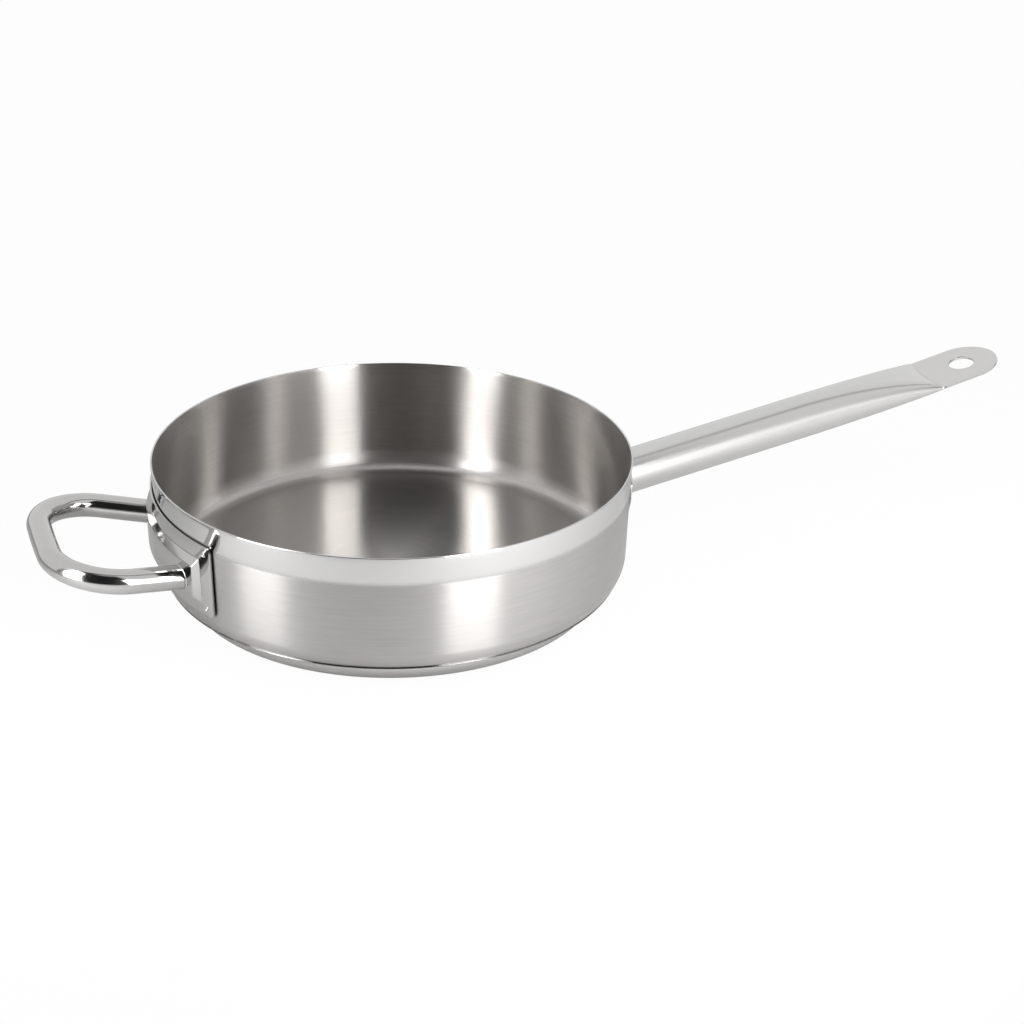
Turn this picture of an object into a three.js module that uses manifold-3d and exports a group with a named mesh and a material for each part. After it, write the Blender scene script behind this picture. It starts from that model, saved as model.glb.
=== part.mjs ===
// Saute pan: a drawn steel vessel on a sandwich base, with a bent-tube helper handle and a long tube handle.
// Millimetres, +Z up, origin at the middle of the underside, +X along the long handle.
import * as THREE from "three";
import { mergeVertices } from "three/addons/utils/BufferGeometryUtils.js";
import Module from "manifold-3d";

// Vessel
const lipRadius = 141; // outside of the open lip
const panHeight = 82.7; // underside to lip
const wallThickness = 1;
const bandHeight = 16.5; // polished band under the lip
const bandFlare = 0.9; // lip radius less the radius at the band's foot
const wallTaper = 1.1; // band foot radius less the radius at the wall's foot
const cornerRadius = 13.7; // outside, between wall and floor

// Sandwich base
const baseHeight = 9.3;
const baseInset = 1.1; // vessel's flat underside to the cap's side
const capThickness = 0.8;
const capEdgeRadius = 1.8;
const capLipGap = 0.6; // open joint between the cap's collar and the vessel
const capSideHeight = 5.6; // cap's side, up to the groove
const grooveDepth = 4.4; // cap's side in to its collar

// Clearances
const seatGap = 0.3; // between pieces that are welded or seated together
const plateGap = 0.5; // least gap from the wall to a bracket plate

// Brackets, both stamped from the same sheet
const plateThickness = 1.5;
const spotRadius = 1.5; // spot weld
const spotRecess = 0.2; // spot weld's end below the plate's face

// Helper handle
const loopTubeRadius = 7;
const loopTubeWall = 1.2;
const loopDrop = 40; // lip down to the tube's axis at the bracket
const loopTilt = THREE.MathUtils.degToRad(9.65); // loop's plane above level
const legSpacing = 89.1; // between leg axes at the bracket
const legSplay = THREE.MathUtils.degToRad(12.76); // each leg outwards
const loopReach = 66.5; // leg's root to the line of the cross bar
const loopBendRadius = 33.5;
const barBulge = 1.7; // cross bar's middle beyond its ends
const bossRise = 3.2; // raised face above the plate
const bossSideMargin = 5.1; // leg to the end of the raised face
const bossTopMargin = 4.6; // leg to the raised face's ridge
const bossFootMargin = 1; // leg to the raised face's lower edge
const bossEndSlope = 5.5;
const bossTopSlope = 5.2;
const bossFootSlope = 2.5;
const flangeSide = 11.3; // plate beyond the raised part
const flangeTop = 9;
const flangeFoot = 7;
const plateCornerRadius = 3.4;
const loopSpotInset = 5.6; // spot welds in from the plate's ends
const loopSpotRise = 4.3; // lower spot welds above the plate's foot
const loopSpotDrop = 5.1; // upper spot welds below the plate's top
const loopBeadWidth = 1.2; // weld bead on the bracket
const loopBeadHeight = 1.2; // weld bead along the leg

// Long handle
const gripRadius = 13.5;
const gripWall = 0.9;
const gripDrop = 34.2; // lip down to the tube's axis at the bracket
const gripTilt = THREE.MathUtils.degToRad(10.6);
const gripRoundLength = 115; // round stretch of the tube
const gripPressLength = 97; // stretch where the tube flattens
const tabTilt = THREE.MathUtils.degToRad(13.5);
const tabSpread = 0.5; // how far pressing widens the tab on each side
const hangHoleRadius = 8;
const hangHoleOffset = 25; // tab's press line to the hole
const tabEndOffset = 1.8; // hole to the middle of the round end
const bossFaceMargin = 2.6; // seat round the tube
const bossStep = 1.8; // least rise of the seat above the plate
const bossFlare = 7; // seat's edge to the foot of the boss, sideways
const bossRiseFlare = 2.8; // seat's edge to the foot of the boss, up and down
const shieldHalfWidth = 57.5; // along the wall
const shieldTopMargin = 3.8; // seat to the plate's top edge
const earHeight = 10.5;
const shieldFootMargin = 9.5; // seat to the plate's lower edge
const shieldFootHalfWidth = 22;
const gripSpotInset = 5.5; // spot welds in from the plate's edges
const gripBeadWidth = 2;
const gripBeadHeight = 2.2;

// Fineness of round shapes
const roundSegments = 72;
const cornerSteps = 5;
const tubeSides = 20;

const wasm = await Module();
wasm.setup();

// Radii and heights that follow from the sizes above
const floorHeight = baseHeight;
const bandFoot = panHeight - bandHeight;
const bandFootRadius = lipRadius - bandFlare;
const wallFootRadius = bandFootRadius - wallTaper;
const wallFoot = floorHeight + cornerRadius;
const flatRadius = wallFootRadius - cornerRadius;
const capRadius = flatRadius - baseInset;
const collarRadius = capRadius - grooveDepth;

function wallRadiusAt(height) {
  if (height >= bandFoot) {
    return bandFootRadius + (bandFlare * (height - bandFoot)) / bandHeight;
  }
  const share = (height - wallFoot) / (bandFoot - wallFoot);
  return wallFootRadius + wallTaper * Math.max(share, 0);
}

function steel(color, roughness, metalness = 1) {
  return new THREE.MeshStandardMaterial({ color, roughness, metalness });
}

function piece(name, geometry, material) {
  const mesh = new THREE.Mesh(geometry, material);
  mesh.name = name;
  return mesh;
}

// Joins and cuts
function solid(geometry) {
  const bare = new THREE.BufferGeometry();
  bare.setAttribute("position", geometry.getAttribute("position"));
  bare.setIndex(geometry.getIndex());
  const merged = mergeVertices(bare, 1e-4);
  const vertProperties = new Float32Array(merged.getAttribute("position").array);
  const triVerts = new Uint32Array(merged.getIndex().array);
  return new wasm.Manifold(new wasm.Mesh({ numProp: 3, vertProperties, triVerts }));
}

function cut(geometry, cutters) {
  let body = solid(geometry);
  for (const cutter of cutters) {
    body = body.subtract(solid(cutter));
  }
  const mesh = body.getMesh();
  const made = new THREE.BufferGeometry();
  made.setAttribute("position", new THREE.BufferAttribute(new Float32Array(mesh.vertProperties), 3));
  made.setIndex(new THREE.BufferAttribute(new Uint32Array(mesh.triVerts), 1));
  made.computeVertexNormals();
  return made;
}

// A profile of [radius, height] points turned about Z, anticlockwise with the radius to the right
function turned(profile, segments = roundSegments) {
  const points = profile.map(([radius, height]) => new THREE.Vector2(radius, height));
  return new THREE.LatheGeometry(points, segments).rotateX(Math.PI / 2);
}

function arc(centreRadius, centreHeight, radius, from, to, steps = cornerSteps) {
  const points = [];
  for (let i = 0; i <= steps; i++) {
    const angle = from + ((to - from) * i) / steps;
    points.push([centreRadius + radius * Math.cos(angle), centreHeight + radius * Math.sin(angle)]);
  }
  return points;
}

// A round bar about Z from one height to another
function roundBar(radius, low, high, segments = tubeSides) {
  return new THREE.CylinderGeometry(radius, radius, high - low, segments)
    .rotateX(Math.PI / 2)
    .translate(0, 0, (low + high) / 2);
}

// Turns a shape made about Z so that its Z runs along a direction, from a point
function aimed(geometry, point, direction) {
  const turn = new THREE.Quaternion().setFromUnitVectors(new THREE.Vector3(0, 0, 1), direction);
  return geometry.applyQuaternion(turn).translate(point.x, point.y, point.z);
}

function radialDirection(angle) {
  return new THREE.Vector3(Math.cos(angle), Math.sin(angle), 0);
}

function onCylinder(radius, angle, height) {
  return radialDirection(angle).multiplyScalar(radius).setZ(height);
}

// Closed surface of equal rings of points: joined in order, and back to the first ring if it is a loop
function ringSurface(rings, isLoop) {
  const count = rings[0].length;
  const positions = rings.flat().flatMap((point) => [point.x, point.y, point.z]);
  const faces = [];
  const last = isLoop ? rings.length : rings.length - 1;
  for (let i = 0; i < last; i++) {
    const next = (i + 1) % rings.length;
    for (let j = 0; j < count; j++) {
      const k = (j + 1) % count;
      const a = i * count + j;
      const b = i * count + k;
      const c = next * count + k;
      const d = next * count + j;
      faces.push(a, b, c, a, c, d);
    }
  }
  if (!isLoop) {
    const end = (rings.length - 1) * count;
    for (let j = 1; j < count - 1; j++) {
      faces.push(0, j + 1, j);
      faces.push(end, end + j, end + j + 1);
    }
  }
  const geometry = new THREE.BufferGeometry();
  geometry.setAttribute("position", new THREE.Float32BufferAttribute(positions, 3));
  geometry.setIndex(faces);
  geometry.computeVertexNormals();
  return geometry;
}

// Vessel: floor, corner, tapered wall and flared band, one wall thick
function panBody() {
  const inside = cornerRadius - wallThickness;
  const outer = [
    [0, floorHeight],
    ...arc(flatRadius, wallFoot, cornerRadius, -Math.PI / 2, 0),
    [bandFootRadius, bandFoot],
    [lipRadius, panHeight],
  ];
  const inner = [
    [lipRadius - wallThickness, panHeight],
    [bandFootRadius - wallThickness, bandFoot],
    ...arc(flatRadius, wallFoot, inside, 0, -Math.PI / 2),
    [0, floorHeight + wallThickness],
  ];
  return turned([...outer, ...inner]);
}

// Stainless cup that wraps the heat-spreading disc: a side, a groove above it and a narrower collar
function baseCap() {
  const rim = floorHeight - capLipGap;
  const ledge = capSideHeight - capThickness;
  const inside = capEdgeRadius - capThickness;
  const edge = capRadius - capEdgeRadius;
  return turned([
    [0, 0],
    ...arc(edge, capEdgeRadius, capEdgeRadius, -Math.PI / 2, 0, 3),
    [capRadius, capSideHeight],
    [collarRadius, capSideHeight],
    [collarRadius, rim],
    [collarRadius - capThickness, rim],
    [collarRadius - capThickness, ledge],
    [capRadius - capThickness, ledge],
    ...arc(edge, capEdgeRadius, inside, 0, -Math.PI / 2, 3),
    [0, capThickness],
  ]);
}

// Aluminium disc between the vessel's floor and the cap
function baseCoreDisc() {
  const radius = capRadius - capThickness - seatGap;
  const neck = collarRadius - capThickness - seatGap;
  const ledge = capSideHeight - capThickness - seatGap;
  const edge = capEdgeRadius;
  return turned([
    [0, capThickness],
    ...arc(radius - edge, capThickness + edge, edge, -Math.PI / 2, 0, 3),
    [radius, ledge],
    [neck, ledge],
    [neck, floorHeight],
    [0, floorHeight],
  ]);
}

// Spot weld from a plate's face through to the vessel's wall, and the hole that it fills
function spotBar(spot, radius, from, to) {
  const centre = onCylinder(0, spot.angle, spot.height);
  return aimed(roundBar(radius, from, to, 12), centre, radialDirection(spot.angle));
}

function spotWeld(spot, faceRadius) {
  const wall = wallRadiusAt(spot.height) + seatGap;
  return spotBar(spot, spotRadius, wall, faceRadius - spotRecess);
}

function spotHole(spot, faceRadius) {
  const through = plateThickness + bossRise;
  return spotBar(spot, spotRadius + seatGap, faceRadius - through, faceRadius + through);
}

// Helper handle, in a frame whose +X runs out from the pan's axis
const legRoot = panHeight - loopDrop;
const bossFootFront = legRoot - loopTubeRadius - bossFootMargin;
const bossFoot = bossFootFront - bossFootSlope;
const bossRidge = legRoot + loopTubeRadius + bossTopMargin;
const bossTop = bossRidge + bossTopSlope;
const loopPlateFoot = bossFoot - flangeFoot;
const loopPlateTop = bossTop + flangeTop;
const loopPlateInner =
  Math.max(wallRadiusAt(loopPlateTop), wallRadiusAt(loopPlateFoot)) + plateGap;
const loopPlateFace = loopPlateInner + plateThickness;
const bossFace = loopPlateFace + bossRise;
const legAngle = Math.asin(legSpacing / 2 / bossFace);
const bossFrontEnd = legAngle * bossFace + loopTubeRadius + bossSideMargin;
const bossEnd = bossFrontEnd + bossEndSlope;
const loopPlateEnd = bossEnd + flangeSide;

// Stamped plate with a raised, sloped-sided face: a grid over the wall, across by arc length and up by height
function helperBracket() {
  const heights = [];
  for (let i = 0; i <= cornerSteps; i++) {
    heights.push(loopPlateFoot + plateCornerRadius * (1 - Math.cos((i / cornerSteps) * (Math.PI / 2))));
  }
  heights.push(bossFoot, bossFootFront, bossRidge, bossTop);
  for (let i = cornerSteps; i >= 0; i--) {
    heights.push(loopPlateTop - plateCornerRadius * (1 - Math.cos((i / cornerSteps) * (Math.PI / 2))));
  }
  const frontSteps = 10;
  const acrossOf = (half) => {
    const across = [-half, -bossEnd];
    for (let i = 0; i <= frontSteps; i++) {
      across.push(-bossFrontEnd + (2 * bossFrontEnd * i) / frontSteps);
    }
    return [...across, bossEnd, half];
  };
  const columns = acrossOf(loopPlateEnd).length;
  const point = (row, column, depth) => {
    const height = heights[row];
    const toEdge = Math.min(height - loopPlateFoot, loopPlateTop - height);
    const into = Math.max(plateCornerRadius - toEdge, 0);
    const rounding = plateCornerRadius - Math.sqrt(Math.max(plateCornerRadius ** 2 - into ** 2, 0));
    const across = acrossOf(loopPlateEnd - rounding)[column];
    const isFront = height >= bossFootFront && height <= bossRidge && Math.abs(across) <= bossFrontEnd;
    const radius = loopPlateFace + (isFront ? bossRise : 0) - depth;
    return onCylinder(radius, across / loopPlateFace, height);
  };
  const rows = heights.length;
  const positions = [];
  for (const depth of [0, plateThickness]) {
    for (let row = 0; row < rows; row++) {
      for (let column = 0; column < columns; column++) {
        const at = point(row, column, depth);
        positions.push(at.x, at.y, at.z);
      }
    }
  }
  const index = (layer, row, column) => (layer * rows + row) * columns + column;
  const faces = [];
  const quad = (a, b, c, d, swap) => {
    faces.push(...(swap ? [a, b, d, b, c, d] : [a, b, c, a, c, d]));
  };
  for (let row = 0; row < rows - 1; row++) {
    for (let column = 0; column < columns - 1; column++) {
      // Corner cells of the raised part fold along the line from its foot to its front
      const isHip = heights[row] < legRoot === column > columns / 2;
      const [a, b] = [index(0, row, column), index(0, row, column + 1)];
      const [c, d] = [index(0, row + 1, column + 1), index(0, row + 1, column)];
      const back = rows * columns;
      quad(a, b, c, d, isHip);
      quad(a + back, d + back, c + back, b + back, !isHip);
    }
  }
  const border = [];
  for (let column = 0; column < columns - 1; column++) {
    border.push([0, column]);
  }
  for (let row = 0; row < rows - 1; row++) {
    border.push([row, columns - 1]);
  }
  for (let column = columns - 1; column > 0; column--) {
    border.push([rows - 1, column]);
  }
  for (let row = rows - 1; row > 0; row--) {
    border.push([row, 0]);
  }
  border.forEach(([row, column], i) => {
    const [nextRow, nextColumn] = border[(i + 1) % border.length];
    quad(
      index(0, row, column),
      index(1, row, column),
      index(1, nextRow, nextColumn),
      index(0, nextRow, nextColumn),
      false,
    );
  });
  const geometry = new THREE.BufferGeometry();
  geometry.setAttribute("position", new THREE.Float32BufferAttribute(positions, 3));
  geometry.setIndex(faces);
  return cut(geometry, loopSpots().map((spot) => spotHole(spot, loopPlateFace)));
}

function loopSpots() {
  const angle = (loopPlateEnd - loopSpotInset) / loopPlateFace;
  const low = loopPlateFoot + loopSpotRise;
  const high = loopPlateTop - loopSpotDrop;
  return [
    { angle: -angle, height: low },
    { angle, height: low },
    { angle: -angle, height: high },
    { angle, height: high },
  ];
}

// Middle line of the loop in its own plane: [outwards from the bracket face, sideways], one leg to the other
function loopLine() {
  const rootX = bossFace * Math.cos(legAngle);
  const rootY = legSpacing / 2;
  const slope = Math.tan(legSplay);
  const barX = loopReach;
  const cornerY = rootY + barX * slope;
  const barAngle = Math.atan2(barBulge, cornerY);
  const turn = Math.PI / 2 + legSplay - barAngle;
  const toTangent = loopBendRadius * Math.tan(turn / 2);
  const legDirection = new THREE.Vector2(Math.cos(legSplay), Math.sin(legSplay));
  const corner = new THREE.Vector2(barX, cornerY);
  const bendStart = corner.clone().addScaledVector(legDirection, -toTangent);
  const inward = new THREE.Vector2(Math.sin(legSplay), -Math.cos(legSplay));
  const bendCentre = bendStart.clone().addScaledVector(inward, loopBendRadius);
  const sunk = 2 * loopTubeRadius;
  const half = [new THREE.Vector2(0, rootY).addScaledVector(legDirection, -sunk)];
  const bendSteps = 8;
  for (let i = 0; i <= bendSteps; i++) {
    const angle = Math.PI / 2 + legSplay - (turn * i) / bendSteps;
    half.push(
      new THREE.Vector2(
        bendCentre.x + loopBendRadius * Math.cos(angle),
        bendCentre.y + loopBendRadius * Math.sin(angle),
      ),
    );
  }
  half.push(new THREE.Vector2(barX + barBulge, 0));
  const other = half.slice(0, -1).reverse();
  const line = [...half, ...other.map((point) => new THREE.Vector2(point.x, -point.y))];
  const outward = new THREE.Vector3(Math.cos(loopTilt), 0, Math.sin(loopTilt));
  const root = new THREE.Vector3(rootX, 0, legRoot);
  return line.map((point) => root.clone().addScaledVector(outward, point.x).setY(point.y));
}

// Round ring of a tube at one point of a line, square to the line there
function ringAcross(line, i, upward, radius) {
  const before = line[Math.max(i - 1, 0)];
  const after = line[Math.min(i + 1, line.length - 1)];
  const along = after.clone().sub(before).normalize();
  const side = new THREE.Vector3().crossVectors(upward, along).normalize();
  const ring = [];
  for (let j = 0; j < tubeSides; j++) {
    const angle = (2 * Math.PI * j) / tubeSides;
    const point = line[i].clone();
    point.addScaledVector(side, radius * Math.cos(angle));
    point.addScaledVector(upward, radius * Math.sin(angle));
    ring.push(point);
  }
  return ring;
}

// Cylinder about the pan's axis that shapes what is welded to the raised face
function bossShaper() {
  const reach = panHeight;
  return roundBar(bossFace + seatGap, legRoot - reach, legRoot + reach, 2 * roundSegments);
}

function helperHandleTube() {
  const line = loopLine();
  const upward = new THREE.Vector3(-Math.sin(loopTilt), 0, Math.cos(loopTilt));
  const outer = line.map((_, i) => ringAcross(line, i, upward, loopTubeRadius));
  const inner = line.map((_, i) => ringAcross(line, i, upward, loopTubeRadius - loopTubeWall));
  return cut(ringSurface([...outer, ...inner.reverse()], true), [bossShaper()]);
}

// Bead round a leg where it meets the raised face
function helperWeld(side) {
  const legAxis = new THREE.Vector3(
    Math.cos(loopTilt) * Math.cos(legSplay),
    side * Math.sin(legSplay),
    Math.sin(loopTilt) * Math.cos(legSplay),
  ).normalize();
  const root = onCylinder(bossFace, side * legAngle, legRoot);
  const inner = loopTubeRadius + seatGap;
  const sunk = 2 * loopBeadHeight;
  const blank = turned(
    [
      [0, -sunk],
      [inner + loopBeadWidth, -sunk],
      [inner + loopBeadWidth, seatGap],
      [inner + loopBeadWidth / 2, loopBeadHeight * 0.75],
      [inner, loopBeadHeight],
      [0, loopBeadHeight],
    ],
    tubeSides,
  );
  const bore = roundBar(inner, -4 * sunk, 4 * sunk);
  return cut(aimed(blank, root, radialDirection(side * legAngle)), [
    aimed(bore, root, legAxis),
    bossShaper(),
  ]);
}

// Long handle, in a frame whose +X runs out from the pan's axis
const gripRoot = panHeight - gripDrop;
const seatRadius = gripRadius + bossFaceMargin;
const shieldTop = gripRoot + seatRadius + shieldTopMargin;
const shieldFoot = gripRoot - seatRadius - shieldFootMargin;
const shieldInner = Math.max(wallRadiusAt(shieldTop), wallRadiusAt(shieldFoot)) + plateGap;
const shieldFace = shieldInner + plateThickness;
const gripAxis = new THREE.Vector3(Math.cos(gripTilt), 0, Math.sin(gripTilt));
const gripUp = new THREE.Vector3(-Math.sin(gripTilt), 0, Math.cos(gripTilt));
const sideways = new THREE.Vector3(0, 1, 0);
const seatCentre = new THREE.Vector3(
  shieldFace + bossStep + seatRadius * Math.sin(gripTilt),
  0,
  gripRoot,
);

// Outline of the shield plate, anticlockwise from its right ear: [along the wall, height]
function shieldOutline() {
  const shape = new THREE.Shape();
  const ear = shieldTop - earHeight;
  const corners = [
    [shieldHalfWidth, ear],
    [shieldHalfWidth, shieldTop],
    [-shieldHalfWidth, shieldTop],
    [-shieldHalfWidth, ear],
    [-shieldFootHalfWidth, shieldFoot],
    [shieldFootHalfWidth, shieldFoot],
  ].map(([across, height]) => new THREE.Vector2(across, height));
  corners.forEach((corner, i) => {
    const before = corners[(i + corners.length - 1) % corners.length];
    const after = corners[(i + 1) % corners.length];
    const enter = corner.clone().add(before.clone().sub(corner).setLength(plateCornerRadius));
    const leave = corner.clone().add(after.clone().sub(corner).setLength(plateCornerRadius));
    if (i === 0) {
      shape.moveTo(enter.x, enter.y);
    } else {
      shape.lineTo(enter.x, enter.y);
    }
    shape.quadraticCurveTo(corner.x, corner.y, leave.x, leave.y);
  });
  shape.closePath();
  return shape.getSpacedPoints(52).slice(0, -1);
}

// Shield plate over the wall with a raised seat square to the tube
function longBracket() {
  const outline = shieldOutline();
  const plateSteps = 5;
  const layer = (depth) => {
    const rings = [];
    const seat = seatCentre.clone().addScaledVector(gripAxis, -depth);
    const bearings = outline.map((point) => Math.atan2(point.y - gripRoot, point.x));
    for (const share of [0.5, 1]) {
      rings.push(
        bearings.map((bearing) =>
          seat
            .clone()
            .addScaledVector(sideways, share * seatRadius * Math.cos(bearing))
            .addScaledVector(gripUp, share * seatRadius * Math.sin(bearing)),
        ),
      );
    }
    for (let step = 0; step <= plateSteps; step++) {
      const share = step / plateSteps;
      rings.push(
        outline.map((point, j) => {
          const footAcross = (seatRadius + bossFlare) * Math.cos(bearings[j]);
          const footHeight = gripRoot + (seatRadius + bossRiseFlare) * Math.sin(bearings[j]);
          const across = THREE.MathUtils.lerp(footAcross, point.x, share);
          const height = THREE.MathUtils.lerp(footHeight, point.y, share);
          return onCylinder(shieldFace - depth, across / shieldFace, height);
        }),
      );
    }
    return rings;
  };
  const geometry = ringSurface([...layer(plateThickness), ...layer(0).reverse()], false);
  return cut(geometry, gripSpots().map((spot) => spotHole(spot, shieldFace)));
}

function gripSpots() {
  const earAngle = (shieldHalfWidth - gripSpotInset) / shieldFace;
  const footAngle = (shieldFootHalfWidth - gripSpotInset) / shieldFace;
  const high = shieldTop - gripSpotInset;
  const low = shieldFoot + gripSpotInset;
  return [
    { angle: -footAngle, height: low },
    { angle: footAngle, height: low },
    { angle: -earAngle, height: high },
    { angle: earAngle, height: high },
  ];
}

// Sections of the long tube: round, then pressed flat at constant girth, then a tab with a round end
const tabHalfThickness = gripWall;
const tabHalfWidth =
  tabHalfThickness + (Math.PI / 2) * (gripRadius - tabHalfThickness) + tabSpread;

function gripSections() {
  const sections = [];
  const girth = 2 * Math.PI * gripRadius;
  const start = seatCentre.clone().addScaledVector(gripAxis, seatGap);
  const add = (point, up, halfHeight, halfWidth) => sections.push({ point, up, halfHeight, halfWidth });
  add(start.clone(), gripUp, gripRadius, gripRadius);
  const pressSteps = 12;
  for (let i = 0; i <= pressSteps; i++) {
    const share = Math.sin((Math.PI / 2) * (i / pressSteps));
    const left = (1 - share ** 2) ** 0.7;
    const halfHeight = tabHalfThickness + (gripRadius - tabHalfThickness) * left;
    const halfWidth = halfHeight + (girth - 2 * Math.PI * halfHeight) / 4 + tabSpread * (1 - left);
    const point = start.clone().addScaledVector(gripAxis, gripRoundLength + gripPressLength * share);
    add(point, gripUp, halfHeight, halfWidth);
  }
  const tabAxis = new THREE.Vector3(Math.cos(tabTilt), 0, Math.sin(tabTilt));
  const tabUp = new THREE.Vector3(-Math.sin(tabTilt), 0, Math.cos(tabTilt));
  const press = start.clone().addScaledVector(gripAxis, gripRoundLength + gripPressLength);
  const endSteps = 9;
  for (let i = 0; i <= endSteps; i++) {
    const angle = ((Math.PI / 2) * i * 0.97) / endSteps;
    const along = hangHoleOffset + tabEndOffset + tabHalfWidth * Math.sin(angle);
    add(
      press.clone().addScaledVector(tabAxis, along),
      tabUp,
      tabHalfThickness,
      tabHalfWidth * Math.cos(angle),
    );
  }
  return { sections, press, tabAxis, tabUp };
}

// Ring of a pressed tube: two half rounds joined by flats
function pressedRing({ point, up, halfHeight, halfWidth }, inset) {
  const radius = halfHeight - inset;
  const flat = Math.max(halfWidth - inset - radius, 0);
  const ring = [];
  for (let j = 0; j < tubeSides; j++) {
    const angle = (2 * Math.PI * (j + 0.5)) / tubeSides;
    const across = Math.sign(Math.cos(angle)) * flat + radius * Math.cos(angle);
    ring.push(
      point
        .clone()
        .addScaledVector(sideways, across)
        .addScaledVector(up, radius * Math.sin(angle)),
    );
  }
  return ring;
}

function longHandleTube() {
  const { sections, press, tabAxis, tabUp } = gripSections();
  const leastBore = 0.5;
  const hollow = sections.filter((section) => section.halfHeight - gripWall > leastBore);
  const outer = sections.map((section) => pressedRing(section, 0));
  const inner = hollow.map((section) => pressedRing(section, gripWall));
  const shell = ringSurface([...inner.reverse(), ...outer], false);
  const hole = press.clone().addScaledVector(tabAxis, hangHoleOffset);
  const punch = roundBar(hangHoleRadius, -gripRadius, gripRadius, 2 * tubeSides);
  return cut(shell, [aimed(punch, hole, tabUp)]);
}

// Bead round the tube on the seat
function longHandleWeld() {
  const inner = gripRadius + seatGap;
  const bead = turned(
    [
      [inner, seatGap],
      [inner + gripBeadWidth, seatGap],
      [inner + gripBeadWidth * 0.7, seatGap + gripBeadHeight * 0.6],
      [inner, seatGap + gripBeadHeight],
      [inner, seatGap],
    ],
    2 * tubeSides,
  );
  return aimed(bead, seatCentre, gripAxis);
}

// Assembly
const brushed = 0xb9b5b0;
const polished = 0xc8c8c8;

const pan = new THREE.Group();
pan.add(piece("pan_body", panBody(), steel(brushed, 0.32)));
pan.add(piece("base_core_disc", baseCoreDisc(), steel(0xb4b6b9, 0.5)));
pan.add(piece("base_cap", baseCap(), steel(polished, 0.2)));

const helperSide = new THREE.Group();
helperSide.rotation.z = Math.PI;
helperSide.add(piece("helper_bracket", helperBracket(), steel(polished, 0.08)));
helperSide.add(piece("helper_handle_tube", helperHandleTube(), steel(polished, 0.08)));
helperSide.add(piece("helper_weld_left", helperWeld(-1), steel(polished, 0.3)));
helperSide.add(piece("helper_weld_right", helperWeld(1), steel(polished, 0.3)));
loopSpots().forEach((spot, i) => {
  helperSide.add(piece(`helper_spot_weld_${i + 1}`, spotWeld(spot, loopPlateFace), steel(polished, 0.2)));
});
pan.add(helperSide);

const longSide = new THREE.Group();
longSide.add(piece("long_bracket", longBracket(), steel(polished, 0.1)));
longSide.add(piece("long_handle_tube", longHandleTube(), steel(0xc4c3c1, 0.28)));
longSide.add(piece("long_handle_weld", longHandleWeld(), steel(polished, 0.3)));
gripSpots().forEach((spot, i) => {
  longSide.add(piece(`long_spot_weld_${i + 1}`, spotWeld(spot, shieldFace), steel(polished, 0.2)));
});
pan.add(longSide);

export default pan;
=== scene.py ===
from math import asin, atan2, copysign, cos, pi, radians, sin, sqrt, tan

import bmesh
import bpy
from mathutils import Matrix, Vector


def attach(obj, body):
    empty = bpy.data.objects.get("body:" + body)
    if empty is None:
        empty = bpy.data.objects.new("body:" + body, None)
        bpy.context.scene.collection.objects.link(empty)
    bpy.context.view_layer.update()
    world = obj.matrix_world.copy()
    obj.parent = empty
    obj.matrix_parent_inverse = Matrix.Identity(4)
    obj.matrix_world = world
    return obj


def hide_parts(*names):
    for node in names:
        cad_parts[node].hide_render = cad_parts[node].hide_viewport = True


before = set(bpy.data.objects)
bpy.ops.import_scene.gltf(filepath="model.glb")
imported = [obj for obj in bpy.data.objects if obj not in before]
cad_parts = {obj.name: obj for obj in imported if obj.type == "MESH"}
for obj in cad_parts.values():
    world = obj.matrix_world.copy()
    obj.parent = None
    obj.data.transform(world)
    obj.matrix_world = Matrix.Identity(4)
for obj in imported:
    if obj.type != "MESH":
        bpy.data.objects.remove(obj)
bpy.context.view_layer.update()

scene = bpy.context.scene
mm = 0.001  # pieces are drawn in millimetres and scaled once at the end


# Shader maths: a socket that can be added, multiplied and so on
class Field:
    def __init__(self, graph, socket):
        self.graph = graph
        self.socket = socket

    def __add__(self, other):
        return self.graph.maths("ADD", self, other)

    def __radd__(self, other):
        return self.graph.maths("ADD", other, self)

    def __sub__(self, other):
        return self.graph.maths("SUBTRACT", self, other)

    def __rsub__(self, other):
        return self.graph.maths("SUBTRACT", other, self)

    def __mul__(self, other):
        return self.graph.maths("MULTIPLY", self, other)

    def __rmul__(self, other):
        return self.graph.maths("MULTIPLY", other, self)


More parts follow.
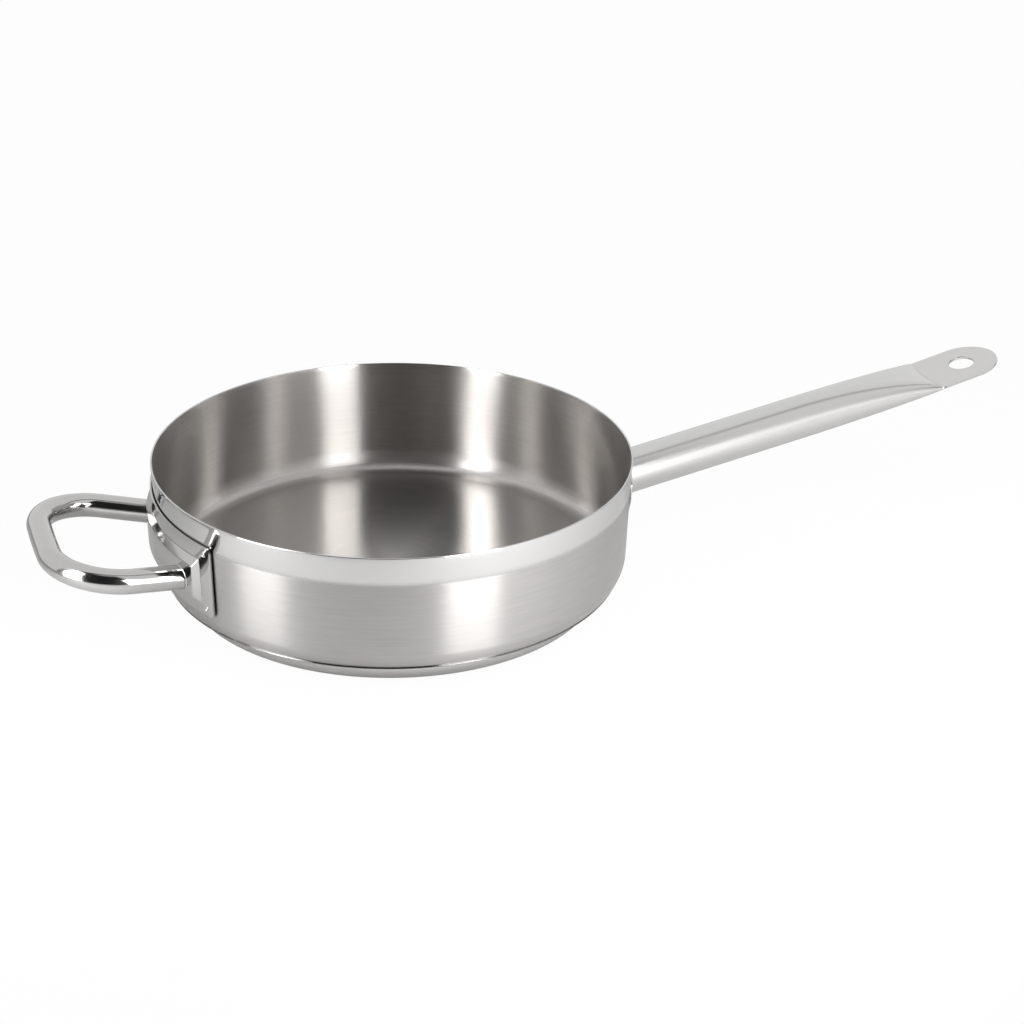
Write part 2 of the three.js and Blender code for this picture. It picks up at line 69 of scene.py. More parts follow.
class Graph:
    def __init__(self, tree):
        self.tree = tree
        tree.nodes.clear()

    # One node: its type, its settings first, then values or links for its sockets
    def node(self, kind, settings=None, sockets=None, output=0):
        made = self.tree.nodes.new(kind)
        for name, value in (settings or {}).items():
            setattr(made, name, value)
        for name, value in (sockets or {}).items():
            if isinstance(value, Field):
                self.tree.links.new(value.socket, made.inputs[name])
            else:
                made.inputs[name].default_value = value
        return Field(self, made.outputs[output]) if made.outputs else None

    # Several outputs of the node that a field comes from
    def outputs(self, field, names):
        return [Field(self, field.socket.node.outputs[name]) for name in names]

    def maths(self, operation, first, second):
        return self.node("ShaderNodeMath", {"operation": operation}, {0: first, 1: second})

    def dot(self, first, second):
        return self.node("ShaderNodeVectorMath", {"operation": "DOT_PRODUCT"}, {0: first, 1: second}, "Value")

    def place(self):
        whole = self.node("ShaderNodeTexCoord", output="Object")
        return self.outputs(self.node("ShaderNodeSeparateXYZ", None, {0: whole}), "XYZ")

    def point(self, x, y, z):
        return self.node("ShaderNodeCombineXYZ", None, {"X": x, "Y": y, "Z": z})

    def noise(self, vector, scale=1.0, detail=3.0, rough=0.6):
        return self.node("ShaderNodeTexNoise", None, {
            "Vector": vector, "Scale": scale, "Detail": detail, "Roughness": rough})

    # Nought before the start, one past the end and soft between
    def step(self, value, start, end):
        return self.node("ShaderNodeMapRange", {"interpolation_type": "SMOOTHSTEP"}, {
            "Value": value, "From Min": start, "From Max": end})

    def blend(self, share, low, high):
        return self.node("ShaderNodeMix", {"data_type": "RGBA"}, {0: share, 6: low, 7: high}, output=2)


def newMaterial(name):
    material = bpy.data.materials.new(name)
    material.use_nodes = True
    return material, Graph(material.node_tree)


# Grains: each gives its lines, its broad patches and the height of its furrows
# Scales are a noise's repeats per metre, so a bigger number is finer
grainScales = {
    "round": {"fine": {"along": 50, "across": 1200, "rough": 0.5},
              "broad": {"along": 9, "across": 420, "rough": 0.4},
              "furrows": {"along": 16, "across": 5200, "rough": 0.6},
              "detail": 1.0, "fineShare": 0.8, "broadShare": 0.2, "patch": 14.0, "patchDetail": 2.0},
    "long": {"along": 30, "across": 900, "patch": 25.0, "patchDetail": 2.0},
    "buffed": {"level": 160, "upright": 420, "patch": 45.0, "patchDetail": 1.0},
    "grit": {"fine": 1400.0, "patch": 200.0},
}


# Brushing that runs round the pan: lines follow height on the wall and radius on the floor
def roundGrain(graph):
    s = grainScales["round"]
    x, y, z = graph.place()
    radius = graph.node("ShaderNodeVectorMath", {"operation": "LENGTH"}, {0: graph.point(x, y, 0.0)}, "Value")
    across = radius + z
    fine, broad, furrows = (
        graph.noise(graph.point(x * scale["along"], y * scale["along"], across * scale["across"]),
                    detail=s["detail"], rough=scale["rough"])
        for scale in (s["fine"], s["broad"], s["furrows"]))
    patches = graph.noise(graph.point(x, y, z), scale=s["patch"], detail=s["patchDetail"])
    return fine * s["fineShare"] + broad * s["broadShare"], patches, furrows


# Satin lines along the long handle
def longGrain(graph):
    s = grainScales["long"]
    x, y, z = graph.place()
    fine = graph.noise(graph.point(x * s["along"], y * s["across"], z * s["across"]))
    return fine, graph.noise(graph.point(x, y, z), scale=s["patch"], detail=s["patchDetail"]), fine


# Buffed steel: hardly any lines, a slow waviness and faint wipe marks
def buffedGrain(graph):
    s = grainScales["buffed"]
    x, y, z = graph.place()
    wipes = graph.noise(graph.point(x * s["level"], y * s["level"], z * s["upright"]))
    return wipes, graph.noise(graph.point(x, y, z), scale=s["patch"], detail=s["patchDetail"]), wipes


# Weld metal and bare aluminium: fine even grit
def gritGrain(graph):
    s = grainScales["grit"]
    x, y, z = graph.place()
    grit = graph.noise(graph.point(x, y, z), scale=s["fine"])
    return grit, graph.noise(graph.point(x, y, z), scale=s["patch"]), grit


# Finishes: a zone is another finish past a height; heights and bumps are in metres
finishes = {
    "brushedSteel": {
        "grain": roundGrain, "colour": (0.443, 0.432, 0.421), "rough": 0.285, "streak": 0.11,
        "roughSpread": 0.0, "patch": 0.015, "bump": 0.0000015, "lineShare": 1.0, "stretch": 0.925,
        "zones": (  # the polished band under the lip, then a dark tint above the base, painted shade for the shadowed gap and dark reflections over the cup
            {"colour": (0.58, 0.575, 0.57), "rough": 0.09, "streak": 0.02, "seam": 0.0,
             "from": 0.0650, "to": 0.0690},
            # painted shade: the steel's foot is tinted dark for the shadowed gap where the vessel meets the
            # cup
            {"colour": (0.20, 0.195, 0.19), "rough": 0.18, "streak": 0.02, "seam": 0.0,
             "from": 0.01365, "to": 0.01345})},
    "innerSteel": {
        "grain": roundGrain, "colour": (0.49, 0.473, 0.459), "rough": 0.165, "streak": 0.12,
        "roughSpread": 0.0, "patch": 0.004, "bump": 0.0000015, "lineShare": 1.0, "stretch": 1.0,
        "zones": (  # the wall is duller than the floor, and dullest in the corner between them
            {"colour": (0.49, 0.473, 0.459), "rough": 0.2775, "streak": 0.12, "seam": 0.6,
             "from": 0.0100, "to": 0.026},)},
    "mirrorSteel": {
        "grain": buffedGrain, "colour": (0.515, 0.51, 0.503), "rough": 0.12, "streak": 0.02,
        "roughSpread": 0.06, "patch": 0.06, "bump": 0.00002, "lineShare": 0.0, "stretch": 0.0},
    "satinSteel": {
        "grain": longGrain, "colour": (0.62, 0.615, 0.605), "rough": 0.25, "streak": 0.03,
        "roughSpread": 0.05, "patch": 0.03, "bump": 0.000006, "lineShare": 1.0, "stretch": 0.0},
    "cupSteel": {
        "grain": roundGrain, "colour": (0.58, 0.574, 0.565), "rough": 0.17, "streak": 0.03,
        "roughSpread": 0.05, "patch": 0.03, "bump": 0.000004, "lineShare": 1.0, "stretch": 0.4},
    "weldSteel": {
        "grain": gritGrain, "colour": (0.56, 0.55, 0.54), "rough": 0.20, "streak": 0.05,
        "roughSpread": 0.06, "patch": 0.05, "bump": 0.00004, "lineShare": 0.3, "stretch": 0.0},
    "coreMetal": {
        "grain": gritGrain, "colour": (0.70, 0.71, 0.72), "rough": 0.42, "streak": 0.05,
        "roughSpread": 0.08, "patch": 0.05, "bump": 0.00001, "lineShare": 0.6, "stretch": 0.0},
}
noiseMiddle = 0.5
quarterTurn = 0.25  # highlights stretch across the brushing


def shade(colour, factor):
    return tuple(channel * factor for channel in colour) + (1.0,)


def streaked(graph, lines, look):
    dark, light = (shade(look["colour"], 1 + side * look["streak"]) for side in (-1, 1))
    return graph.blend(lines, dark, light)


def steelMaterial(name, look):
    material, graph = newMaterial(name)
    lines, patches, furrows = look["grain"](graph)
    colour = streaked(graph, lines, look)
    rough = look["rough"]
    for zone in look.get("zones", ()):
        share = graph.step(graph.place()[2], zone["from"], zone["to"])
        colour = graph.blend(share, colour, streaked(graph, lines, zone))
        rough = share * (zone["rough"] - rough) + rough + share * (1 - share) * zone["seam"]
    rough = (lines - noiseMiddle) * look["roughSpread"] + rough + (patches - noiseMiddle) * look["patch"]
    height = furrows * look["lineShare"] + patches * (1 - look["lineShare"])
    bump = graph.node("ShaderNodeBump", None, {"Strength": 1.0, "Distance": look["bump"], "Height": height})
    surface = graph.node("ShaderNodeBsdfPrincipled", None, {
        "Metallic": 1.0,
        "Base Color": colour,
        "Roughness": rough,
        "Normal": bump,
        "Anisotropic": look["stretch"],
        "Anisotropic Rotation": quarterTurn if look["stretch"] else 0.0})
    graph.node("ShaderNodeOutputMaterial", None, {"Surface": surface})
    return material


metals = {name: steelMaterial(name, look) for name, look in finishes.items()}
print("finishes made:", ", ".join(metals))

# Modelling helpers, in millimetres
mergeDistance = 0.0001
near = 0.01


def vertsOf(parts):
    return [part for part in parts if isinstance(part, bmesh.types.BMVert)]


def edgesOf(parts):
    return [part for part in parts if isinstance(part, bmesh.types.BMEdge)]


def edgesAmong(edges, verts):
    return [edge for edge in edges if all(vert in verts for vert in edge.verts)]


def bevel(bm, parts, reach, segments, affect="EDGES", clamp=False):
    bmesh.ops.bevel(bm, geom=parts, offset=reach, segments=segments, profile=0.5, affect=affect,
                    material=-1, clamp_overlap=clamp)


# Rounds a corner of an outline to a radius
def roundCorner(bm, vert, radius, segments):
    ways = [(edge.other_vert(vert).co - vert.co).normalized() for edge in vert.link_edges]
    bevel(bm, [vert], radius / tan(ways[0].angle(ways[1]) / 2), segments, "VERTICES")


def splitLong(bm, longest):
    for edge in bm.edges[:]:
        cuts = int(edge.calc_length() / longest)
        if cuts:
            bmesh.ops.subdivide_edges(bm, edges=[edge], cuts=cuts)


# Turns a profile round the Z axis; a rounded corner has its radius and segments after its place
def turnProfile(profile, steps, longest=None):
    bm = bmesh.new()
    verts = [bm.verts.new((corner[0], 0, corner[1])) for corner in profile]
    for one, two in zip(verts, verts[1:]):
        bm.edges.new((one, two))
    for vert, corner in zip(verts, profile):
        if len(corner) > 2:
            roundCorner(bm, vert, *corner[2:])
    if longest:
        splitLong(bm, longest)
    bmesh.ops.spin(bm, geom=bm.verts[:] + bm.edges[:], cent=(0, 0, 0), axis=(0, 0, 1), angle=2 * pi,
                   steps=steps, use_merge=True)
    bmesh.ops.remove_doubles(bm, verts=bm.verts, dist=mergeDistance)
    bmesh.ops.recalc_face_normals(bm, faces=bm.faces)
    return bm


def extrudeLoop(bm, edges):
    made = bmesh.ops.extrude_edge_only(bm, edges=edges)["geom"]
    verts = vertsOf(made)
    return verts, edgesAmong(edgesOf(made), verts)


def moveVerts(bm, verts, matrix):
    bmesh.ops.transform(bm, matrix=matrix, verts=verts)


# Stands a shape's own Z along a direction at a place
def aimed(place, way):
    return Matrix.Translation(place) @ Vector((0, 0, 1)).rotation_difference(way).to_matrix().to_4x4()


def ringAt(bm, centre, way, radius, sides):
    made = bmesh.ops.create_circle(bm, segments=sides, radius=radius, matrix=aimed(centre, way))
    return made["verts"], edgesAmong(bm.edges, made["verts"])


def closeHoles(bm):
    bmesh.ops.holes_fill(bm, edges=[edge for edge in bm.edges if edge.is_boundary])
    bmesh.ops.recalc_face_normals(bm, faces=bm.faces)


def addObject(bm, name):
    mesh = bpy.data.meshes.new(name)
    bm.to_mesh(mesh)
    bm.free()
    made = bpy.data.objects.new(name, mesh)
    scene.collection.objects.link(made)
    return made


# A finished piece; edges steeper than the sharp angle, in degrees, aren't shaded smooth
def addPiece(bm, name, metalNames, node, sharp):
    bmesh.ops.scale(bm, vec=(mm, mm, mm), verts=bm.verts)
    piece = addObject(bm, name)
    piece.data.shade_smooth()
    piece.data.set_sharp_from_angle(angle=radians(sharp))
    for metalName in metalNames:
        piece.data.materials.append(metals[metalName])
    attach(piece, "root")
    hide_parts(node)
    print(name, len(piece.data.polygons), "faces")


# Vessel: one closed profile turned round the pan's axis
vesselSizes = {
    "lipRadius": 141.0, "height": 82.7, "wall": 1.0, "lipRounding": 0.35,
    "bandHeight": 16.5, "bandFlare": 0.9, "shoulderHeight": 2.2, "shoulderFlare": 0.3, "bandRounding": 8.0,
    "innerBend": 300.0, "wallTaper": 1.1, "cornerRadius": 13.7, "floorHeight": 9.3, "underRadius": 125.0,
    "edgeRadius": 135.2, "edgeHeight": 13.2, "edgeStep": 0.75, "edgeWidth": 0.7, "edgeSlope": radians(48),
    "edgeRounding": 0.2, "cornerSegments": 14, "innerSegments": 20, "bendSegments": 9, "smallSegments": 3,
    "longest": 3.5, "steps": 216, "sharp": 40}


def makeVessel(s):
    wall = s["wall"]
    small = s["smallSegments"]
    floorTop = s["floorHeight"] + wall
    bandFoot = s["height"] - s["bandHeight"]
    footRadius = s["lipRadius"] - s["bandFlare"]
    lean = s["wallTaper"] / (bandFoot - s["floorHeight"] - s["cornerRadius"])
    floorRadius = footRadius - lean * (bandFoot - s["floorHeight"])  # wall's line carried down to the floor
    down = Vector((-cos(s["edgeSlope"]), -sin(s["edgeSlope"])))  # the corner ends in a small step
    out = Vector((sin(s["edgeSlope"]), -cos(s["edgeSlope"]))) * s["edgeStep"]
    stepIn = Vector((s["edgeRadius"], s["edgeHeight"])) - out / 2
    stepOut = stepIn + out
    stepFoot = stepOut + down * s["edgeWidth"]
    run = (footRadius - lean * (bandFoot - stepIn.y) - stepIn.x) / (lean * down.y - down.x)
    corner = stepIn - down * run
    bm = turnProfile([
        (0, s["floorHeight"]),
        (s["underRadius"], s["floorHeight"]),
        (stepFoot.x, stepFoot.y, s["edgeRounding"], small),
        (stepOut.x, stepOut.y, s["edgeRounding"], small),
        (stepIn.x, stepIn.y),
        (corner.x, corner.y, s["cornerRadius"], s["cornerSegments"]),
        (footRadius, bandFoot, s["bandRounding"], small),
        (footRadius + s["shoulderFlare"], bandFoot + s["shoulderHeight"], s["bandRounding"], small),
        (s["lipRadius"], s["height"], s["lipRounding"], small),
        (s["lipRadius"] - wall, s["height"], s["lipRounding"], small),
        (footRadius - wall, bandFoot, s["innerBend"], s["bendSegments"]),
        (floorRadius - wall, floorTop, s["cornerRadius"] - wall, s["innerSegments"]),
        (0, floorTop)], s["steps"], s["longest"])
    lipTop = s["height"] - s["lipRounding"]
    for face in bm.faces:
        middle = face.calc_center_median()
        facesUp = face.normal.z > 0.5
        facesIn = face.normal.xy.dot(middle.xy) < 0
        isFloor = facesUp and middle.xy.length < s["edgeRadius"] - s["edgeStep"]
        face.material_index = 1 if (isFloor or facesIn) and middle.z < lipTop else 0
    addPiece(bm, "vesselShell", ["brushedSteel", "innerSteel"], "pan_body", s["sharp"])


# Base: the steel cup under the vessel; the aluminium disc inside it keeps its CAD shape
cupSizes = {
    "radius": 124.2, "side": 7.0, "collar": 119.8, "rim": 8.7, "sheet": 0.8,
    "edgeRadius": 1.8, "sideRounding": 0.5, "rimRounding": 0.3,
    "edgeSegments": 8, "innerSegments": 5, "sideSegments": 4, "smallSegments": 3,
    "longest": 4.0, "steps": 180, "sharp": 40}


def makeCup(s):
    small = s["smallSegments"]
    shelf = s["side"] - s["sheet"]
    innerRadius = s["radius"] - s["sheet"]
    innerCollar = s["collar"] - s["sheet"]
    bm = turnProfile([
        (0, 0),
        (s["radius"], 0, s["edgeRadius"], s["edgeSegments"]),
        (s["radius"], s["side"], s["sideRounding"], s["sideSegments"]),
        (s["collar"], s["side"], s["sideRounding"], small),
        (s["collar"], s["rim"], s["rimRounding"], small),
        (innerCollar, s["rim"], s["rimRounding"], small),
        (innerCollar, shelf, s["sideRounding"], small),
        (innerRadius, shelf, s["rimRounding"], small),
        (innerRadius, s["sheet"], s["edgeRadius"] - s["sheet"], s["innerSegments"]),
        (0, s["sheet"])], s["steps"], s["longest"])
    addPiece(bm, "baseCup", ["cupSteel"], "base_cap", s["sharp"])


makeVessel(vesselSizes)
makeCup(cupSizes)
bpy.data.objects["base_core_disc"].material_slots[0].material = metals["coreMetal"]
print("vessel and base made")


# Plates that lie round the pan, drawn flat with X away from it and Y along their length
sharpEdge = radians(50)


# Radius of a plate's face, which leans in towards its foot as the wall does
def faceAt(s, height):
    return s["plateFace"] - s["lean"] * (s["plateTop"] - height)


def wrapped(point, s):
    angle = point.y / s["plateFace"]
    radius = faceAt(s, point.z) + point.x
    return Vector((radius * cos(angle), radius * sin(angle), point.z))


# Where a point near the plate lies on the flat sheet
def unwrapped(point, s):
    angle = atan2(point.y, point.x)
    return Vector((point.xy.length - faceAt(s, point.z), angle * s["plateFace"], point.z))


# Gives a flat sheet its thickness on the pan's side
def thicken(bm, sheet):
    made = bmesh.ops.extrude_face_region(bm, geom=bm.faces[:], use_keep_orig=True)["geom"]
    bmesh.ops.translate(bm, verts=vertsOf(made), vec=(-sheet, 0, 0))
    bmesh.ops.recalc_face_normals(bm, faces=bm.faces)
    if bm.calc_volume(signed=True) < 0:
        bmesh.ops.reverse_faces(bm, faces=bm.faces)


# Makes a flat sheet a plate with rounded edges, slices it along its length and lays it round the pan
def finishPlate(bm, s, half):
    thicken(bm, s["sheet"])
    edges = [edge for edge in bm.edges if len(edge.link_faces) == 2 and edge.calc_face_angle() > sharpEdge]
    bevel(bm, edges, s["edgeRounding"], s["edgeSegments"], clamp=True)
    for i in range(1, s["cuts"]):
        bmesh.ops.bisect_plane(bm, geom=bm.verts[:] + bm.edges[:] + bm.faces[:], dist=near,
                               plane_co=(0, half * (2 * i / s["cuts"] - 1), 0), plane_no=(0, 1, 0))
    for vert in bm.verts:
        vert.co = wrapped(vert.co, s)


# Spot welds: small dished buttons on a plate's face; the first three are shares of the radius
spotSizes = {
    "dish": 0.4, "ridge": 0.7, "foot": 1.06, "radius": 1.5, "middleHeight": 0.1, "dishHeight": 0.08,
    "ridgeHeight": 0.45, "edgeHeight": 0.05, "sink": 0.5, "dishRounding": 0.3, "dishSegments": 3,
    "ridgeRounding": 0.2, "ridgeSegments": 4, "steps": 32, "sharp": 60}


def makeSpot(name, node, angle, height, face, s):
    r = s["radius"]
    bm = turnProfile([
        (0, s["middleHeight"]),
        (s["dish"] * r, s["dishHeight"], s["dishRounding"], s["dishSegments"]),
        (s["ridge"] * r, s["ridgeHeight"], s["ridgeRounding"], s["ridgeSegments"]),
        (r, s["edgeHeight"]),
        (s["foot"] * r, -s["sink"]),
        (0, -s["sink"])], s["steps"])
    moveVerts(bm, bm.verts, Matrix.Rotation(pi / 2, 4, "Y"))
    moveVerts(bm, bm.verts, Matrix.Rotation(angle, 4, "Z") @ Matrix.Translation((face, 0, height)))
    addPiece(bm, name, ["mirrorSteel"], node, s["sharp"])


def makeSpots(handle, plate, places):
    for number, (angle, height) in enumerate(places, 1):
        makeSpot(f"{handle}Spot{number}", f"{handle}_spot_weld_{number}", angle, height,
                 faceAt(plate, height), spotSizes)


# Helper handle, drawn with +X away from the pan and turned to its side at the end
helperSizes = {
    "plateFace": 142.0, "sheet": 1.0, "lean": 0.0255, "rise": 3.2, "frontEnd": 57.2, "bossEnd": 60.2,
    "plateEnd": 70.5, "plateFoot": 25.2, "bossFoot": 32.2, "frontFoot": 34.7, "ridge": 54.3,
    "bossTop": 59.5, "plateTop": 68.5, "cornerRadius": 3.4, "cornerSegments": 6, "crease": 0.55,
    "creaseSegments": 3, "edgeRounding": 0.45, "edgeSegments": 3, "cuts": 56, "plateSharp": 35,
    "spotInset": 5.6, "spotRise": 4.3, "spotDrop": 5.1,
    "tubeRadius": 7.0, "legHeight": 42.7, "legSink": 0.6, "tilt": radians(9.65), "spacing": 89.1,
    "splay": radians(12.76), "reach": 67.3, "bendRadius": 33.5, "bulge": 1.7, "sides": 96,
    "bendSteps": 72, "barSteps": 24, "tubeSharp": 50, "bead": 0.35, "beadOverlap": 0.1, "beadSharp": 60,
    "beadSection": ((0.25, 0.8), (0.55, 0.5), (0.85, 0.1), (0.9, -0.4), (-0.1, -0.4))}
toHelper = Matrix.Rotation(pi, 4, "Z")


# Insets a face and puts the smaller one where it belongs
def insetTo(bm, face, out, half, low, high):
    bmesh.ops.inset_individual(bm, faces=[face], thickness=1)
    middle = face.calc_center_median().z
    for vert in face.verts:
        vert.co = (out, copysign(half, vert.co.y), high if vert.co.z > middle else low)


def makeHelperPlate(s):
    end = s["plateEnd"]
    low = s["plateFoot"]
    high = s["plateTop"]
    bm = bmesh.new()
    face = bm.faces.new([
        bm.verts.new((0, y, z)) for y, z in ((-end, low), (end, low), (end, high), (-end, high))])
    insetTo(bm, face, 0, s["bossEnd"], s["bossFoot"], s["bossTop"])
    raised = set(face.verts)
    insetTo(bm, face, s["rise"], s["frontEnd"], s["frontFoot"], s["ridge"])
    raised |= set(face.verts)
    bevel(bm, edgesAmong(bm.edges, raised), s["crease"], s["creaseSegments"])
    corners = [vert for vert in bm.verts if abs(abs(vert.co.y) - end) < near]
    bevel(bm, corners, s["cornerRadius"], s["cornerSegments"], "VERTICES")
    finishPlate(bm, s, end)
    moveVerts(bm, bm.verts, toHelper)
    addPiece(bm, "helperPlate", ["mirrorSteel"], "helper_bracket", s["plateSharp"])


# Slides a ring of verts along a leg on to a cylinder round the pan's axis
def slideOn(verts, way, radius):
    a = way.x ** 2 + way.y ** 2
    for vert in verts:
        b = vert.co.x * way.x + vert.co.y * way.y
        c = vert.co.x ** 2 + vert.co.y ** 2 - radius ** 2
        vert.co += way * ((sqrt(b * b - a * c) - b) / a)


def legWay(s, side):
    level = cos(s["splay"])
    return Vector((level * cos(s["tilt"]), side * sin(s["splay"]), level * sin(s["tilt"])))


# Radius of the bracket's raised face at the legs
def legFace(s):
    return faceAt(s, s["legHeight"]) + s["rise"]


def legRoot(s, side):
    angle = asin(s["spacing"] / 2 / legFace(s))
    return Vector((legFace(s) * cos(angle), side * s["spacing"] / 2, s["legHeight"]))


# The loop is swept level, from one leg round two bends and a bowed bar to the other, and then tilted
def makeLoop(s):
    half = s["spacing"] / 2
    splay = s["splay"]
    cornerY = half + s["reach"] * tan(splay)
    barAngle = atan2(s["bulge"], cornerY)
    turn = pi / 2 + splay - barAngle
    along = Vector((cos(splay), sin(splay), 0))
    inward = Vector((sin(splay), -cos(splay), 0))
    bendStart = Vector((s["reach"], cornerY, 0)) - along * s["bendRadius"] * tan(turn / 2)
    bendCentre = bendStart + inward * s["bendRadius"]
    otherCentre = Vector((bendCentre.x, -bendCentre.y, 0))
    bendEnd = bendCentre + Matrix.Rotation(-turn, 3, "Z") @ (bendStart - bendCentre)
    barRadius = bendEnd.y / sin(barAngle)
    barCentre = Vector((bendEnd.x - barRadius * cos(barAngle), 0, 0))
    legStart = Vector((0, half, 0))
    bm = bmesh.new()
    startRing, edges = ringAt(bm, legStart, along, s["tubeRadius"], s["sides"])
    ring, edges = extrudeLoop(bm, edges)
    bmesh.ops.translate(bm, verts=ring, vec=bendStart - legStart)
    for centre, angle, steps in ((bendCentre, turn, s["bendSteps"]), (barCentre, 2 * barAngle, s["barSteps"]),
                                 (otherCentre, turn, s["bendSteps"])):
        last = bmesh.ops.spin(bm, geom=ring + edges, cent=centre, axis=(0, 0, -1), angle=angle,
                              steps=steps)["geom_last"]
        ring = vertsOf(last)
        edges = edgesOf(last)
    ring, edges = extrudeLoop(bm, edges)
    bmesh.ops.translate(bm, verts=ring, vec=Vector((-bendStart.x, bendStart.y - half, 0)))
    root = legRoot(s, 1)
    moveVerts(bm, bm.verts, Matrix.Translation((root.x, 0, root.z)) @ Matrix.Rotation(-s["tilt"], 4, "Y"))
    for verts, side in ((startRing, 1), (ring, -1)):
        slideOn(verts, legWay(s, side), legFace(s) - s["legSink"])
    closeHoles(bm)
    moveVerts(bm, bm.verts, toHelper)
    addPiece(bm, "helperLoop", ["mirrorSteel"], "helper_handle_tube", s["tubeSharp"])


# Slim weld bead round a leg; its section is given as growth and lift, in shares of the bead
def makeLegBead(s, side, name, node):
    root = legRoot(s, side)
    way = legWay(s, side)
    bm = bmesh.new()
    ring, firstEdges = ringAt(bm, root, way, s["tubeRadius"] - s["beadOverlap"], s["sides"])
    slideOn(ring, way, legFace(s) + s["bead"])
    edges = firstEdges
    for grow, lift in s["beadSection"]:
        ring, edges = extrudeLoop(bm, edges)
        for vert in ring:
            out = vert.co - root
            out -= way * out.dot(way)
            vert.co += out.normalized() * (s["tubeRadius"] + grow * s["bead"] - out.length)
        slideOn(ring, way, legFace(s) + lift * s["bead"])
    bmesh.ops.bridge_loops(bm, edges=firstEdges + edges)
    bmesh.ops.recalc_face_normals(bm, faces=bm.faces)
    moveVerts(bm, bm.verts, toHelper)
    addPiece(bm, name, ["weldSteel"], node, s["beadSharp"])


def makeHelperSpots(s):
    angle = (s["plateEnd"] - s["spotInset"]) / s["plateFace"]
    low = s["plateFoot"] + s["spotRise"]
    high = s["plateTop"] - s["spotDrop"]
    makeSpots("helper", s, ((pi - angle, low), (pi + angle, low), (pi - angle, high), (pi + angle, high)))


makeHelperPlate(helperSizes)
makeLoop(helperSizes)
makeLegBead(helperSizes, -1, "helperBeadLeft", "helper_weld_left")
makeLegBead(helperSizes, 1, "helperBeadRight", "helper_weld_right")
makeHelperSpots(helperSizes)
print("helper handle made")


# Long handle, along +X
longSizes = {
    "plateFace": 141.2, "sheet": 0.8, "lean": 0.0255, "halfWidth": 57.5, "plateTop": 68.4, "ear": 57.9,
    "foot": 22.9, "footHalf": 22.0, "cornerRadius": 3.4, "cornerSegments": 5, "crease": 0.8,
    "creaseSegments": 4, "edgeRounding": 0.35, "edgeSegments": 3, "cuts": 48, "plateSharp": 35,
    "seatRadius": 16.1, "seatInset": 4.0, "seatSides": 64, "flareSide": 7.0, "flareRise": 2.8, "step": 2.825,
    "spotInset": 5.5,
    "rootHeight": 48.5, "rootSink": 1.2, "gap": 0.3, "tilt": radians(10.6), "tubeRadius": 13.5, "wall": 0.9,
    "roundLength": 115.0, "pressLength": 97.0, "pressCurve": 0.7, "spread": 0.5, "chevron": 2.0,
    "chevronFade": 9.0, "tabTilt": radians(13.5), "holeRadius": 8.0, "holeOffset": 25.0, "holeChamfer": 0.25,
    "punchReach": 9.0, "holeSteps": 72, "endOffset": 1.8, "endShare": 0.985, "sides": 96, "roundSteps": 12,
    "pressSteps": 48, "tabSteps": 9, "endSteps": 32, "tubeSharp": 35,
    "bead": 1.1, "beadOverlap": 0.1, "beadSink": 0.3, "beadSteps": 72, "beadSharp": 60,
    "beadSection": ((1.0, 0.0), (0.8, 0.35), (0.45, 0.75))}
gripAxis = Vector((cos(longSizes["tilt"]), 0, sin(longSizes["tilt"])))
gripUp = Vector((-sin(longSizes["tilt"]), 0, cos(longSizes["tilt"])))
seatReach = longSizes["plateFace"] + longSizes["step"] + longSizes["seatRadius"] * sin(longSizes["tilt"])
seatCentre = Vector((seatReach, 0, longSizes["rootHeight"]))


# Bracket with two ears, drawn out in the middle to a flat seat for the tube
def makeShield(s):
    side = s["halfWidth"]
    foot = s["footHalf"]
    bm = bmesh.new()
    corners = [bm.verts.new((0, y, z)) for y, z in (
        (side, s["ear"]), (side, s["plateTop"]), (-side, s["plateTop"]), (-side, s["ear"]),
        (-foot, s["foot"]), (foot, s["foot"]))]
    for one, two in zip(corners, corners[1:] + corners[:1]):
        bm.edges.new((one, two))
    for corner in corners:
        roundCorner(bm, corner, s["cornerRadius"], s["cornerSegments"])
    outline = bm.edges[:]
    middle = Vector((0, 0, s["rootHeight"]))
    ring, edges = ringAt(bm, middle, Vector((1, 0, 0)), 1.0, s["seatSides"])
    flareWide = s["seatRadius"] + s["flareSide"]
    flareHigh = s["seatRadius"] + s["flareRise"]
    for vert in ring:
        angle = atan2(vert.co.z - middle.z, vert.co.y)
        vert.co = middle + Vector((0, flareWide * cos(angle), flareHigh * sin(angle)))
    creases = edges[:]
    bmesh.ops.bridge_loops(bm, edges=outline + edges)
    for radius in (s["seatRadius"], s["seatRadius"] - s["seatInset"]):
        ring, edges = extrudeLoop(bm, edges)
        for vert in ring:
            angle = atan2(vert.co.z - middle.z, vert.co.y)
            seat = seatCentre + radius * (Vector((0, cos(angle), 0)) + gripUp * sin(angle))
            vert.co = unwrapped(seat, s)
        if radius == s["seatRadius"]:
            creases += edges
    bmesh.ops.holes_fill(bm, edges=edges)
    bmesh.ops.recalc_face_normals(bm, faces=bm.faces)
    bevel(bm, creases, s["crease"], s["creaseSegments"])
    finishPlate(bm, s, side)
    addPiece(bm, "longShield", ["mirrorSteel"], "long_bracket", s["plateSharp"])


# Point on a pressed tube's section, by share of its girth: two half rounds joined by flats
def pressedPoint(share, halfHeight, halfWidth):
    flat = max(halfWidth - halfHeight, 0)
    quarter = halfHeight * pi / 2
    run = share * (4 * quarter + 4 * flat)
    side = 1
    if run >= 2 * quarter + 2 * flat:
        run -= 2 * quarter + 2 * flat
        side = -1
    if run < quarter:
        spot = (flat + halfHeight * cos(run / halfHeight), halfHeight * sin(run / halfHeight))
    elif run < quarter + 2 * flat:
        spot = (flat - (run - quarter), halfHeight)
    else:
        angle = (run - 2 * flat) / halfHeight
        spot = (-flat + halfHeight * cos(angle), halfHeight * sin(angle))
    return side * spot[0], side * spot[1]


